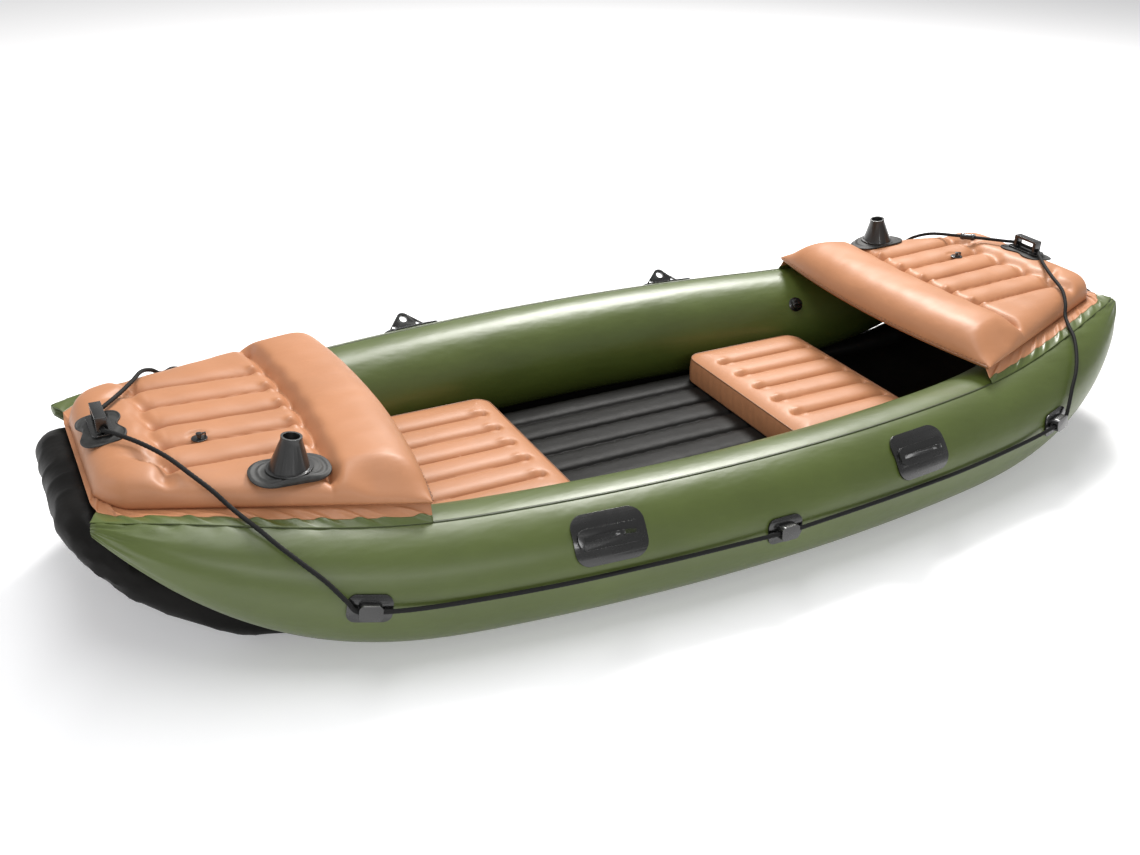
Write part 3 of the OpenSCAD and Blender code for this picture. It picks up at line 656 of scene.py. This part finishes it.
class RAFT_OT_end_tubes(RaftStep, bpy.types.Operator):
    """The dark end tubes that rise round each end"""
    bl_idname = "raft.end_tubes"
    bl_label = "End tubes"

    def execute(self, context):
        h = hull()
        x = np.linspace(h.run_start, h.run_end, 60)
        run, run_r = h.end_tube(x)
        t = np.linspace(0, 1, 26)[1:, None]
        p = run[-1]
        corner = np.array([h.end_x, p[1] - 0.022, h.end_z])
        q = np.array([h.end_x, p[1] - 0.110, h.end_z])
        turn = (1 - t)**2*p + 2*t*(1 - t)*corner + t*t*q
        across = np.linspace(q[1], 0, 22)[1:]
        cross = xyz(h.end_x, across, h.end_z)
        half = np.concatenate([run, turn, cross])
        r = np.concatenate([run_r, np.full(len(turn) + len(cross), h.end_r)])
        path = np.concatenate([half, half[-2::-1]*[1, -1, 1]])
        r = np.concatenate([r, r[-2::-1]])[:, None]
        sides = 64
        a = np.linspace(0, 2*np.pi, sides, endpoint=False)[None, :]
        along = run_along(path)[:, None]
        middle = along[-1]/2
        across_end = smooth_step(0.75, 0.45, np.abs(along - middle))
        corners = bell(np.abs(along - middle), 0.27, 0.07)
        creases = -0.0030*np.abs(waves(along*38 + a, along*61 - a*2))**0.5*across_end
        crumple = -0.0045*np.abs(waves(along*90 + a*3, along*150 - a*5))**0.6*corners
        hugging = 0.0065*(1 - across_end)
        rings = swept(path, r - HAIR + hugging + creases + crumple, sides)
        rings[..., 2] = np.maximum(rings[..., 2], HAIR)
        for name, end in ENDS.items():
            piece(f"end_tube_{name}_looks", *tube_mesh(rings*[end, 1, 1]), "black",
                  replaces=(f"end_tube_{name}",))
        return {"FINISHED"}


class RAFT_OT_bottom(RaftStep, bpy.types.Operator):
    """The bottom sheet, flat between the tubes and rising at both ends"""
    bl_idname = "raft.bottom"
    bl_label = "Bottom sheet"

    def execute(self, context):
        h, s = hull(), context.scene.raft_sizes
        start = h.run_start
        x = np.linspace(-h.run_end, h.run_end, 181)
        flat = np.abs(x) < start
        run, r = h.end_tube(np.maximum(np.abs(x), start))
        ramp = np.clip((np.abs(x) - start)/0.160, 0, 1)
        z = np.maximum(s.bottom_t, s.bottom_t + (run[:, 2] - s.bottom_t)*ramp)
        half = np.where(flat, h.axis_y(x) - 0.030, run[:, 1] - r*0.4)
        half = np.minimum(half, np.interp(np.abs(x), [start - 0.087, start], [1, half[-1] + 0.20]))
        t = np.linspace(-1, 1, 61)
        y = half[:, None]*t
        xx = np.broadcast_to(x[:, None], y.shape)
        ripple = waves(xx*14 + y*3, y*26 - xx*4)*0.0006*(1 - t**2)
        level = np.broadcast_to(z[:, None], y.shape)
        off_axis = np.minimum(h.ring_r(xx), np.abs(np.abs(y) - h.axis_y(xx)))
        skin = h.axis_z(xx) - np.sqrt(np.maximum(0, h.ring_r(xx)**2 - off_axis**2))
        hem = smooth_step(h.axis_y(xx) - 0.080, h.axis_y(xx) - 0.050, np.abs(y))
        level = level + hem*np.clip(skin + 0.0015 - level, 0, 0.03)
        top = xyz(xx, y, level - HAIR)
        low = xyz(xx, y, level - s.bottom_t + np.maximum(0, ripple))
        o = piece("bottom_sheet_looks", *slab_mesh(top, low), "black", replaces=("bottom_sheet",))
        return {"FINISHED"}


class RAFT_OT_floor(RaftStep, bpy.types.Operator):
    """The inflatable floor with its beams"""
    bl_idname = "raft.floor"
    bl_label = "Floor"

    def execute(self, context):
        h, s = hull(), context.scene.raft_sizes
        r, low = s.floor_t/2, s.bottom_t + HAIR
        mid = low + r
        rows = int((h.axis_out - h.tube_r)/s.floor_pitch)
        edge = rows*s.floor_pitch + r
        y = np.linspace(-1, 1, 211)[None, :]*edge
        room = math.sqrt((h.tube_r + r + 0.003)**2 - (h.tube_r - mid)**2)
        spare = np.maximum(0, h.axis_out - np.abs(y) + r - room)
        reach = h.tip_x*np.sqrt(spare/(h.axis_out - s.tip_spacing/2))
        half = np.minimum(s.floor_half - 0.35*np.abs(y), reach)
        t = np.sin(np.linspace(-1, 1, 221)*np.pi/2)[:, None]
        x = half*t
        off = np.abs(y/s.floor_pitch - np.round(y/s.floor_pitch))*2
        crest = np.sqrt(np.maximum(0, 1 - off**3.6))
        web = 0.52
        inset = (half - np.abs(x))/r
        ends = np.sqrt(np.clip(1 - (1 - np.clip(inset/0.9, 0, 1))**2, 0, 1))
        beam_ends = smooth_step(0.2, 1.6, inset)
        arch = web + (1 - web)*crest*beam_ends + (1 - web)*0.55*(1 - beam_ends)
        arch = np.where(np.abs(y) > rows*s.floor_pitch, np.maximum(0, crest), arch)
        pucker = waves(x*120, x*190 + y*9)*0.0009*bell(off, 1.0, 0.35)
        z_up = mid + r*arch*ends + pucker*ends - 0.0006
        z_dn = mid - r*arch*ends + 0.0002
        yy = np.broadcast_to(y, x.shape)
        points = slab_mesh(xyz(x, yy, z_up), xyz(x, yy, z_dn))
        o = piece("floor_mattress_looks", *points, "black", replaces=("floor_mattress",))
        return {"FINISHED"}


class RAFT_OT_decks(RaftStep, bpy.types.Operator):
    """The padded spray decks, their skirts, welds and stitching"""
    bl_idname = "raft.decks"
    bl_label = "Spray decks"

    def execute(self, context):
        h, s = hull(), context.scene.raft_sizes
        share = np.unique(np.concatenate([
            np.linspace(0, 0.05, 16), np.linspace(0.05, 0.95, 190), np.linspace(0.95, 1, 16)]))
        across = np.sin(np.linspace(-1, 1, 231)*np.pi/2*0.97)/math.sin(np.pi/2*0.97)
        u, v = share[:, None], across[None, :]
        x, y = h.deck_x(u, v), v*h.deck_half(u)
        top_z = h.deck_edge(u) + h.deck_height(u, v)
        ripple = waves(x*60 + y*25, y*80 - x*31)*0.0005*smooth_step(0.0, 0.03, h.deck_height(u, v))
        valve_low, valve_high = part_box("deck_valve_bow")
        valve = (valve_low + valve_high)/2
        from_valve = np.hypot(x - valve.x, y - valve.y)
        sunk = np.minimum(0, valve_low.z - HAIR - top_z)
        top_z = top_z + sunk*smooth_step(0.034, 0.025, from_valve)
        low_z = np.broadcast_to(h.deck_edge(u) - 0.0070, y.shape)
        rim = 1 - 0.012*np.maximum(np.abs(v), np.abs(2*u - 1))**20
        for name, end in ENDS.items():
            top = xyz(end*x, end*y, top_z + ripple)
            low = xyz(end*x, end*y*rim, low_z)
            o = piece(f"{name}_deck_looks", *slab_mesh(top, low), "tan", replaces=(f"{name}_deck",))
            self.stitching(h, name, end)
            self.skirt(h, s, name, end)
        return {"FINISHED"}

    @staticmethod
    def stitching(h, name, end):
        """A welded lip along the cockpit edge with a row of short stitches on it."""
        v = np.linspace(-0.985, 0.985, 261)
        u = np.full_like(v, 0.001)
        x, y = h.deck_x(u, v), v*h.deck_half(u)
        path = xyz(end*x - end*0.0012, y, h.deck_edge(u) - 0.0015)
        rings = swept(path, 0.0022, 8)
        piece(f"{name}_deck_welded_lip", *tube_mesh(rings), "tan_seam")
        points, faces = [], []
        for k in range(2, len(v) - 3, 4):
            across = path[k:k + 3] + np.array([-end*0.0012, 0, 0.0065])
            stitch_points, stitch_faces = tube_mesh(swept(across, 0.0009, 6))
            faces += [tuple(i + len(points) for i in f) for f in stitch_faces]
            points += list(stitch_points)
        piece(f"{name}_deck_stitches", points, faces, "tan_seam")

    @staticmethod
    def skirt(h, s, name, end):
        """The tan skirt from the pad's rim, and the olive strip that carries it to the tube."""
        side_n, end_n, cross_n = 150, 70, 34
        u = np.linspace(0.0, 0.955, side_n)
        x_side = s.deck_inner + (h.deck_outer - s.deck_inner)*u + s.deck_bow*(1 - u)
        inner_side = xyz(x_side, h.deck_half(u) - 0.014, h.deck_edge(u) - 0.0080)
        outer_side = h.skin(x_side, 78, 1, 0.0026)
        in_x, top_z = h.deck_outer - 0.030, h.end_z + h.end_r + 0.0018
        t = np.linspace(0, 1, end_n)[1:, None]
        in_end = np.array([in_x, 0, h.deck_edge((in_x - s.deck_inner)/(h.deck_outer - s.deck_inner)) - 0.008])
        inner_end = inner_side[-1]*(1 - t) + in_end*t
        tip = np.array([h.tip_x + 0.001, s.tip_spacing/2 - 0.006, s.tip_rise + 2*s.tip_r + 0.003])
        out_end = np.array([h.end_x, 0, top_z])
        to_tip = smooth_step(0, 0.22, t)
        corner = outer_side[-1]*(1 - to_tip) + tip*to_tip
        to_mid = smooth_step(0.20, 0.50, t)
        turned = np.array([h.end_x, s.tip_spacing/2 - 0.05, top_z])
        outer_end = corner*(1 - to_mid) + turned*to_mid
        outer_end = np.where(t > 0.5, turned*(1 - (t - 0.5)/0.5) + out_end*(t - 0.5)/0.5, outer_end)
        inner = np.concatenate([inner_side, inner_end])
        outer = np.concatenate([outer_side, outer_end])
        c = np.linspace(0, 1, cross_n)[None, :, None]
        cloth = inner[:, None]*(1 - c) + outer[:, None]*c
        # keep clear of the side tube's round top
        dy = cloth[..., 1] - h.axis_y(cloth[..., 0])
        on_tube = np.abs(cloth[..., 0]) < h.tip_x
        crown = h.axis_z(cloth[..., 0]) + np.sqrt(np.maximum(0, h.ring_r(cloth[..., 0])**2 - dy**2))
        over = np.where(on_tube & (np.abs(dy) < h.ring_r(cloth[..., 0])), crown + 0.0022, 0)
        pad_line = np.where(c[..., 0] < 0.25, -1, over)
        cloth[..., 2] = np.maximum(cloth[..., 2], pad_line)
        length = run_along(inner)[:, None]
        cc = c[..., 0]
        free = np.sin(np.pi*np.clip((cc - 0.15)/0.85, 0, 1))
        folds = waves(length*95 + cc*9, length*150 + cc*14, length*61 + cc*5)
        cloth[..., 2] += 0.0032*np.maximum(folds, -0.3)*free*(1 - smooth_step(0.80, 0.95, length/length[-1]))
        split = int(cross_n*0.62)
        whole = np.concatenate([cloth, cloth[-2::-1]*[1, -1, 1]])*[end, 1, 1]
        tan = whole[:, :split + 1]
        under = np.array([0, 0, -0.0016])
        o = piece(f"{name}_deck_skirt_looks", *slab_mesh(tan, tan + under), "tan",
                  replaces=(f"{name}_deck_skirt",))
        # the olive strip ends where the cloth turns across the end tube
        keep = side_n + int(end_n*0.20)
        for side_name, side in SIDES.items():
            strip = cloth[:keep, split:]*[end, side, 1] + np.array([0, 0, -HAIR])
            piece(f"{name}_olive_strip_{side_name}", *slab_mesh(strip, strip + under), "olive")


class RAFT_OT_seats(RaftStep, bpy.types.Operator):
    """The boxed lift-out seat cushions"""
    bl_idname = "raft.seats"
    bl_label = "Seats"

    def execute(self, context):
        for name, end in ENDS.items():
            low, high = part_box(f"{name}_seat")
            self.cushion(name, end, low, high)
        return {"FINISHED"}

    @staticmethod
    def cushion(name, end, low, high):
        half_x, half_y = (high.x - low.x)/2, (high.y - low.y)/2
        mid_x, t_full = (high.x + low.x)/2, high.z - low.z
        corner, belly = 0.040, 0.004
        # the upper seam's height and the dome above it, as shares of the thickness
        shoulder, dome = 0.80, 0.20
        around, rings = 360, 90
        # rounded rectangle, walked at an even pace
        turn = np.linspace(0, 2*np.pi, around, endpoint=False)
        outline = RoundedRectangle(half_x - belly, half_y - belly, corner)
        edge = outline.walk(around)
        shrink = np.linspace(0, 1, rings)[:, None, None]
        flat = edge[None]*shrink
        inset = outline.depth(flat)
        beams = 6
        pitch = (2*half_y - 0.050)/beams
        v = np.clip(flat[..., 1], -2.5*pitch, 2.5*pitch)/pitch
        off = 1 - np.abs(v - np.round(v))*2
        groove = 1 - np.sqrt(np.maximum(0, 1 - np.clip(off, 0, 1)**2.4))
        along = flat[..., 0]*end
        ribbed = smooth_step(-half_x + 0.040, -half_x + 0.062, along)
        ribbed = ribbed*smooth_step(half_x - 0.014, half_x - 0.034, along)
        crown = 1 - np.maximum(0, 1 - inset/0.075)**2.6
        top = t_full*(shoulder + dome*crown)
        top -= 0.020*groove*ribbed
        for k in range(-2, 3):
            at = k*pitch
            top -= 0.004*bell(along, -half_x + 0.052, 0.012)*bell(flat[..., 1], at, 0.011)
            top += 0.003*bell(along, -half_x + 0.074, 0.014)*(
                bell(flat[..., 1], at + 0.017, 0.008) + bell(flat[..., 1], at - 0.017, 0.008))
        lid = np.concatenate([flat, top[..., None]], axis=-1)
        # side wall: bulges between the piped seams, then the flat underside
        w = np.linspace(0, 1, 22)[1:, None]
        normal = outline.normals(around)
        bulge = (np.sin(np.pi*w)**0.6)*belly
        ripple = waves(turn[None]*57, turn[None]*91)*0.0007*np.sin(np.pi*w)
        wall_xy = edge[None] + normal[None]*(bulge + ripple)[..., None]
        wall_z = (t_full*shoulder)*(1 - w) + 0*turn[None]
        wall = np.concatenate([wall_xy, wall_z[..., None]], axis=-1)
        # the pocket round the valve in the side wall
        valve_low, valve_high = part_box(f"seat_valve_{name}")
        valve, side = (valve_low + valve_high)/2, math.copysign(1, valve_low.y)
        pocket = min(abs(valve_low.y), abs(valve_high.y)) - HAIR
        from_valve = np.hypot(wall[..., 0] + mid_x - valve.x, wall[..., 2] + low.z - valve.z)
        depth = np.maximum(0, wall[..., 1]*side - pocket)
        wall[..., 1] -= side*depth*smooth_step(0.034, 0.026, from_valve)
        base = np.concatenate([flat[::-1][1:], np.zeros((rings - 1, around, 1))], axis=-1)
        sheet = np.concatenate([lid[1:], wall, base[:-1]])
        sheet += np.array([mid_x, 0, low.z])
        o = piece(f"{name}_seat_looks", *tube_mesh(sheet), "tan", f"{name}_seat",
                  replaces=(f"{name}_seat",))
        for level, seam in ((shoulder, "upper"), (0.02, "lower")):
            loop = np.concatenate([edge, edge[:1]])
            loop = np.concatenate([loop, np.full((len(loop), 1), t_full*level)], axis=1)
            loop += np.array([mid_x, 0, low.z + (0.0020 if seam == "lower" else 0)])
            piece(f"{name}_seat_{seam}_piping", *tube_mesh(swept(loop, 0.0022, 8)), "tan_seam",
                  f"{name}_seat")


class RAFT_OT_fittings(RaftStep, bpy.types.Operator):
    """Oarlocks, guides, handles, rod holders, valves and the line's stopper"""
    bl_idname = "raft.fittings"
    bl_label = "Fittings"

    def execute(self, context):
        h = hull()
        bodies = {node: body for body, nodes in frame["record"]["behaviour"]["bodies"].items()
                  for node in nodes}
        for node in sorted(frame["nodes"]):
            if node.startswith(("oarlock", "guide", "handle_bow", "handle_stern", "line_stopper")):
                rounded_copy(node, "fitting", bodies[node], 0.0014)
            elif node.startswith("rod_holder_") and "patch" not in node:
                rounded_copy(node, "rod", bodies[node], 0.0012)
            elif "valve" in node or "plug" in node:
                rounded_copy(node, "fitting", bodies[node], 0.0004, 2)
        for name in ENDS:
            self.rod_patch(h, name)
            self.handle_patch(h, name)
        return {"FINISHED"}

    @staticmethod
    def rod_patch(h, name):
        """An oval patch with a raised rim, laid over the deck's edge."""
        low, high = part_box(f"rod_holder_patch_{name}")
        centre = (low + high)/2
        half = np.array([(high.x - low.x)/2, (high.y - low.y)/2])
        around = 120
        outline = RoundedRectangle(half[0], half[1] - 0.002, half[1] - 0.006).walk(around)
        rings = np.linspace(0.30, 1, 44)[:, None, None]
        flat = outline[None]*rings
        inset = (1 - rings[..., 0])*half[1]
        x, y = centre.x + flat[..., 0], centre.y + flat[..., 1]
        level = h.draped(x, y) + 0.0012
        near = smooth_step(0.080, 0.046, np.hypot(flat[..., 0], flat[..., 1]))
        top = level + (np.maximum(high.z, level) - level)*near
        top += 0.0022*bell(inset, 0.004, 0.003) + 0.0012*bell(inset, 0.013, 0.002)
        under = np.minimum(top - 0.0025, level - 0.0026)
        lid = xyz(x, y, top)
        base = xyz(x, y, under)
        ring_stack = np.concatenate([lid, base[::-1]])
        points = ring_stack.reshape(-1, 3)
        faces = grid_faces(len(ring_stack), around, loop=True)
        wrap = (len(ring_stack) - 1)*around
        faces += [(wrap + j, wrap + (j + 1) % around, (j + 1) % around, j) for j in range(around)]
        piece(f"rod_holder_patch_{name}_looks", points, faces, "patch",
              replaces=(f"rod_holder_patch_{name}",))

    @staticmethod
    def handle_patch(h, name):
        """A bow-tie patch with rounded lobes and a stitched-looking rim."""
        low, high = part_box(f"handle_patch_{name}")
        centre = (low + high)/2
        half_x, half_y = (high.x - low.x)/2, (high.y - low.y)/2
        t = np.linspace(0, 2*np.pi, 200, endpoint=False)
        square = np.sign(np.cos(t))*np.abs(np.cos(t))**0.55, np.sign(np.sin(t))*np.abs(np.sin(t))**0.55
        waist = 1 - 0.30*bell(square[1], 0, 0.30)
        outline = np.stack([half_x*square[0]*waist, half_y*square[1]], axis=1)
        rings = np.linspace(0, 1, 40)[:, None, None]
        flat = outline[None]*rings
        x, y = centre.x + flat[..., 0], centre.y + flat[..., 1]
        level = h.draped(x, y) + 0.0010
        near = smooth_step(0.066, 0.044, np.hypot(flat[..., 0]*1.4, flat[..., 1]))
        top = level + (np.maximum(high.z, level) - level)*near
        top += 0.0016*bell(rings[..., 0], 0.955, 0.03)
        lid = xyz(x, y, top)
        base = xyz(x, y, np.minimum(top - 0.0022, level - 0.0024))
        piece(f"handle_patch_{name}_looks", *tube_mesh(np.concatenate([lid[1:], base[::-1][:-1]])),
              "patch", replaces=(f"handle_patch_{name}",))


# starboard half of the grab line, bow half of its route, in millimetres
LINE_ROUTE = [
    (0, -652, 158), (90, -648, 158), (310, -635, 158), (560, -612, 158), (800, -577, 161),
    (920, -560, 172), (968, -548, 180), (986, -538, 204), (1016, -513, 243), (1050, -486, 277),
    (1085, -447, 307), (1113, -406, 331), (1135, -364, 344), (1153, -332, 358), (1174, -307, 381),
    (1202, -264, 401), (1233, -194, 413), (1270, -128, 420), (1312, -68, 424), (1332, -42, 425),
    (1332, 0, 425)]


class RAFT_OT_line(RaftStep, bpy.types.Operator):
    """The braided grab line, as a port and a starboard half"""
    bl_idname = "raft.line"
    bl_label = "Grab line"

    def execute(self, context):
        s = context.scene.raft_sizes
        bow = np.array(LINE_ROUTE)*MM
        whole = np.concatenate([bow[:0:-1]*[-1, 1, 1], bow])
        strands, sides = 8, 24
        step, lay = 0.0028, 0.030
        for name, side in SIDES.items():
            path = spline(whole*[1, -side, 1], step)
            a = np.linspace(0, 2*np.pi, sides, endpoint=False)[None, :]
            run = np.linspace(0, 1, len(path))[:, None]*len(path)*step
            twist = 2*np.pi*run/lay
            braid = np.abs(np.sin(strands*(a + twist)/2))*np.abs(np.sin(strands*(a - twist)/2))
            rings = swept(path, s.line_d/2 - 0.0009 + 0.0011*braid, sides)
            o = piece(f"grab_line_{name}_looks", *tube_mesh(rings), "line",
                      replaces=(f"grab_line_{name}",))
        return {"FINISHED"}


# ---- the studio ----
class RAFT_OT_stage(RaftStep, bpy.types.Operator):
    """Floor, lights and camera"""
    bl_idname = "raft.stage"
    bl_label = "Stage"

    place = (-1.52698, -2.45366, 1.62974)
    yaw, down, roll = 0.49204, 0.48655, 0.02433
    # name, place, size across and up, watts, colour
    lamps = (
        ("key", (3.0, 3.4, 5.4), (2.0, 2.0), 560.0, (1.0, 0.985, 0.96)),
        ("front", (-1.8, -5.2, 3.0), (5.0, 0.6), 85.0, (1.0, 1.0, 1.0)),
        ("overhead", (-0.6, 0.4, 4.6), (5.0, 1.0), 105.0, (1.0, 1.0, 1.0)),
        ("left", (-5.0, 1.8, 2.6), (1.2, 2.6), 35.0, (0.97, 0.985, 1.0)),
    )

    def execute(self, context):
        self.add_floor(context)
        self.add_lamps(context)
        self.add_camera(context)
        return {"FINISHED"}

    @staticmethod
    def add_floor(context):
        paper = Finish("studio_floor", roughness=0.9, specular_ior_level=0.1)
        rgb = tuple(context.scene.raft_colours.floor)
        paper.shader.inputs["Base Color"].default_value = (*rgb, 1)
        paper.shader.inputs["Emission Color"].default_value = (*rgb, 1)
        paper.shader.inputs["Emission Strength"].default_value = 0.22
        reach = 40.0
        mesh = bpy.data.meshes.new("studio_floor")
        mesh.from_pydata([(-reach, -reach, -0.0005), (reach, -reach, -0.0005), (reach, reach, -0.0005),
                          (-reach, reach, -0.0005)], [], [(0, 1, 2, 3)])
        mesh.materials.append(paper.material)
        floor = bpy.data.objects.new("studio_floor", mesh)
        context.collection.objects.link(floor)
        world = bpy.data.worlds.new("studio")
        context.scene.world = world
        world.use_nodes = True
        sky = world.node_tree.nodes["Background"]
        sky.inputs["Color"].default_value = (1.0, 1.0, 1.0, 1)
        sky.inputs["Strength"].default_value = 0.40

    def add_lamps(self, context):
        for name, place, size, watts, rgb in self.lamps:
            light = bpy.data.lights.new(name, "AREA")
            light.shape = "RECTANGLE"
            light.size, light.size_y = size
            light.energy = watts
            light.color = rgb
            lamp = bpy.data.objects.new(name, light)
            lamp.location = place
            aim = Vector((0, 0, 0.15)) - lamp.location
            lamp.rotation_mode = "QUATERNION"
            lamp.rotation_quaternion = aim.to_track_quat("-Z", "Y")
            context.collection.objects.link(lamp)

    def add_camera(self, context):
        forward = Vector((math.sin(self.yaw)*math.cos(self.down),
                          math.cos(self.yaw)*math.cos(self.down), -math.sin(self.down)))
        level = Vector((math.cos(self.yaw), -math.sin(self.yaw), 0))
        upright = level.cross(forward)
        right = math.cos(self.roll)*level + math.sin(self.roll)*upright
        up = -math.sin(self.roll)*level + math.cos(self.roll)*upright
        turn = Matrix((right, up, -forward)).transposed().to_4x4()
        data = bpy.data.cameras.new("studio_camera")
        data.lens = context.scene.raft_sizes.lens
        data.sensor_width = 36.0
        camera = bpy.data.objects.new("studio_camera", data)
        camera.matrix_world = Matrix.Translation(self.place) @ turn
        context.collection.objects.link(camera)
        context.scene.camera = camera
        context.scene.view_settings.view_transform = "Standard"


STEPS = (RAFT_OT_stage, RAFT_OT_line, RAFT_OT_side_tubes, RAFT_OT_end_tubes, RAFT_OT_bottom,
         RAFT_OT_floor, RAFT_OT_decks, RAFT_OT_seats, RAFT_OT_fittings)


class RAFT_PT_panel(bpy.types.Panel):
    """Lists the raft's operators and what can be changed"""
    bl_idname = "RAFT_PT_panel"
    bl_label = "Rowing raft"
    bl_space_type = "VIEW_3D"
    bl_region_type = "UI"
    bl_category = "Raft"

    def draw(self, context):
        column = self.layout.column()
        for step in STEPS:
            column.operator(step.bl_idname)
        for group in (context.scene.raft_sizes, context.scene.raft_colours):
            for key in group.__annotations__:
                column.prop(group, key)


CLASSES = (RaftSizes, RaftColours, *STEPS, RAFT_PT_panel)


def register():
    for cls in CLASSES:
        bpy.utils.register_class(cls)
    bpy.types.Scene.raft_sizes = bpy.props.PointerProperty(type=RaftSizes)
    bpy.types.Scene.raft_colours = bpy.props.PointerProperty(type=RaftColours)


def unregister():
    del bpy.types.Scene.raft_sizes
    del bpy.types.Scene.raft_colours
    for cls in reversed(CLASSES):
        bpy.utils.unregister_class(cls)


def main():
    register()
    bpy.ops.raft.stage()
    bpy.ops.raft.line()
    bpy.ops.raft.side_tubes()
    bpy.ops.raft.end_tubes()
    bpy.ops.raft.bottom()
    bpy.ops.raft.floor()
    bpy.ops.raft.decks()
    bpy.ops.raft.seats()
    bpy.ops.raft.fittings()
    bpy.context.view_layer.update()


if __name__ == "__main__":
    main()
